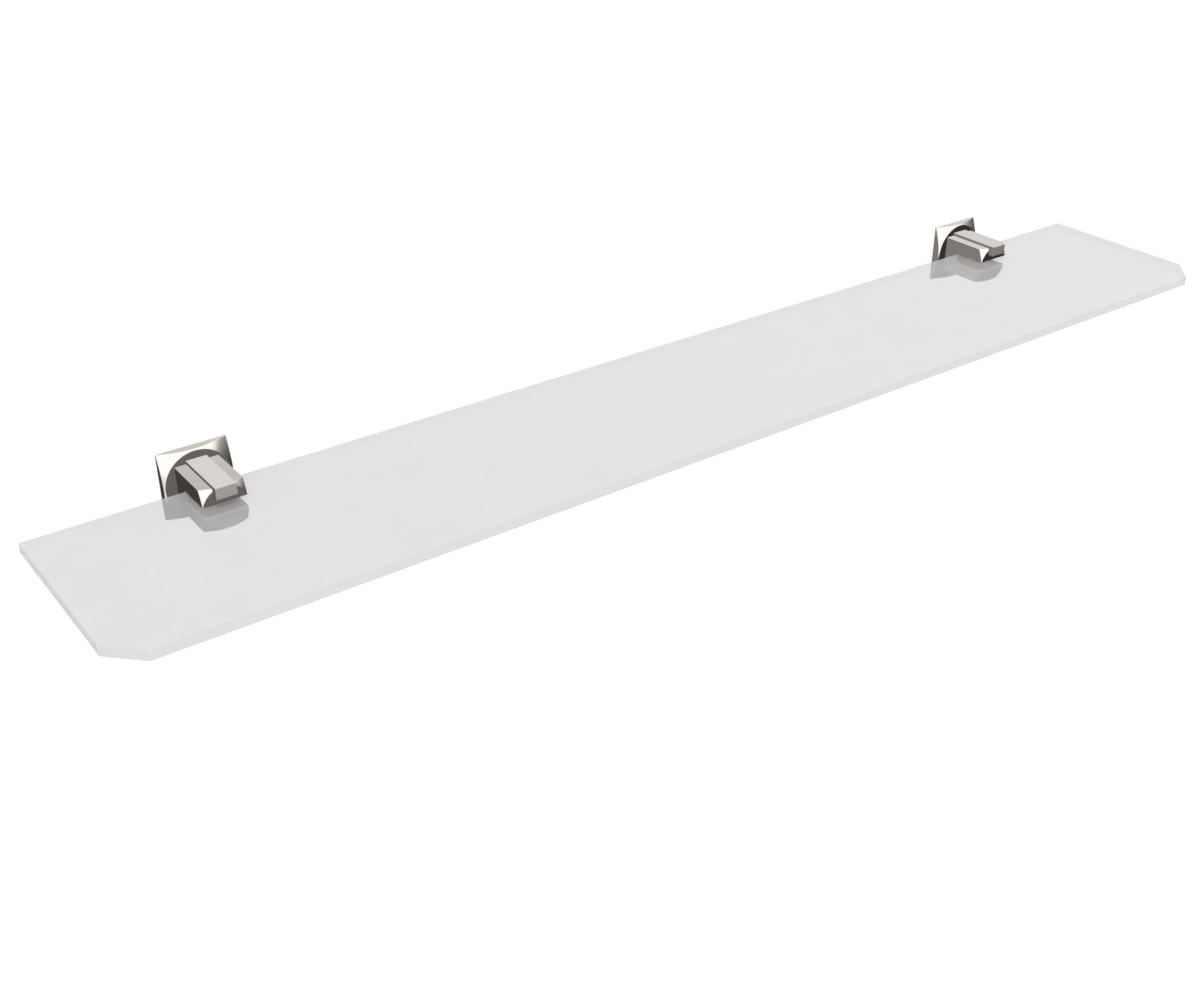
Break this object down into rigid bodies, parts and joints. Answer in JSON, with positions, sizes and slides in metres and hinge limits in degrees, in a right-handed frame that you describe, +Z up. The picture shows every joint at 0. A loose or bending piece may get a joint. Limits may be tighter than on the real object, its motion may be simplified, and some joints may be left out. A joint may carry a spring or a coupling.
{
  "type": "wall shelf",
  "caption": "Wall shelf: a long frosted glass panel with clipped front corners, clamped in slotted square chrome arms on square wall rosettes.",
  "frame": {"origin": "on the wall plane, midway between the two brackets, at mid-thickness of the glass, which is also the centre of the four wall-screw holes", "axes": "+X along the shelf to the right as seen from the room, +Y into the wall, +Z up"},
  "size_m": [1, 0.18, 0.05],
  "materials": {
    "satin_glass": "acid-etched satin float glass, polished edges",
    "polished_chrome": "mirror polished chrome plate",
    "satin_chrome": "chrome plate over a brushed and blasted bar, satin",
    "zinc_plate": "bright zinc-plated steel",
    "steel_screw": "stainless steel, turned",
    "grey_lining": "smoke-grey soft PVC sheet",
    "nylon_foot": "moulded smoke-grey nylon"
  },
  "bodies": {
    "brackets": {"left_rosette": "polished_chrome", "left_arm": "polished_chrome", "left_top_bar": "satin_chrome", "left_wall_plate": "zinc_plate", "left_dowel_pins": "steel_screw", "left_upper_lining": "grey_lining", "left_lower_lining": "grey_lining", "left_back_stop": "grey_lining", "left_arm_bolt": "steel_screw", "left_bar_screw": "steel_screw", "right_rosette": "polished_chrome", "right_arm": "polished_chrome", "right_top_bar": "satin_chrome", "right_wall_plate": "zinc_plate", "right_dowel_pins": "steel_screw", "right_upper_lining": "grey_lining", "right_lower_lining": "grey_lining", "right_back_stop": "grey_lining", "right_arm_bolt": "steel_screw", "right_bar_screw": "steel_screw"},
    "glass": {"glass_shelf": "satin_glass"},
    "left_clamp_foot": {"left_clamp_foot": "nylon_foot"},
    "left_clamp_screw": {"left_clamp_screw": "steel_screw"},
    "left_lock_screw": {"left_lock_screw": "steel_screw"},
    "right_clamp_foot": {"right_clamp_foot": "nylon_foot"},
    "right_clamp_screw": {"right_clamp_screw": "steel_screw"},
    "right_lock_screw": {"right_lock_screw": "steel_screw"}
  },
  "joints": [
    {"name": "glass_slide", "type": "slide", "parent": "brackets", "child": "glass", "axis": [0, -1, 0], "range_m": [0, 0.045]},
    {"name": "left_clamp_foot_slide", "type": "slide", "parent": "brackets", "child": "left_clamp_foot", "axis": [0, 0, -1], "range_m": [0, 0.002]},
    {"name": "left_clamp_screw_turn", "type": "hinge", "parent": "left_clamp_foot", "child": "left_clamp_screw", "pos_m": [-0.374, -0.035, -0.01], "axis": [0, 0, -1], "range_deg": [0, 720]},
    {"name": "left_lock_screw_turn", "type": "hinge", "parent": "brackets", "child": "left_lock_screw", "pos_m": [-0.374, -0.0032, -0.021], "axis": [0, 0, -1], "range_deg": [0, 360]},
    {"name": "right_clamp_foot_slide", "type": "slide", "parent": "brackets", "child": "right_clamp_foot", "axis": [0, 0, -1], "range_m": [0, 0.002]},
    {"name": "right_clamp_screw_turn", "type": "hinge", "parent": "right_clamp_foot", "child": "right_clamp_screw", "pos_m": [0.374, -0.035, -0.01], "axis": [0, 0, -1], "range_deg": [0, 720]},
    {"name": "right_lock_screw_turn", "type": "hinge", "parent": "brackets", "child": "right_lock_screw", "pos_m": [0.374, -0.0032, -0.021], "axis": [0, 0, -1], "range_deg": [0, 360]}
  ],
  "couplings": [
    {"joint": "left_clamp_screw_turn", "follows": "left_clamp_foot_slide", "rad_per_m": 6283},
    {"joint": "right_clamp_screw_turn", "follows": "right_clamp_foot_slide", "rad_per_m": 6283}
  ]
}
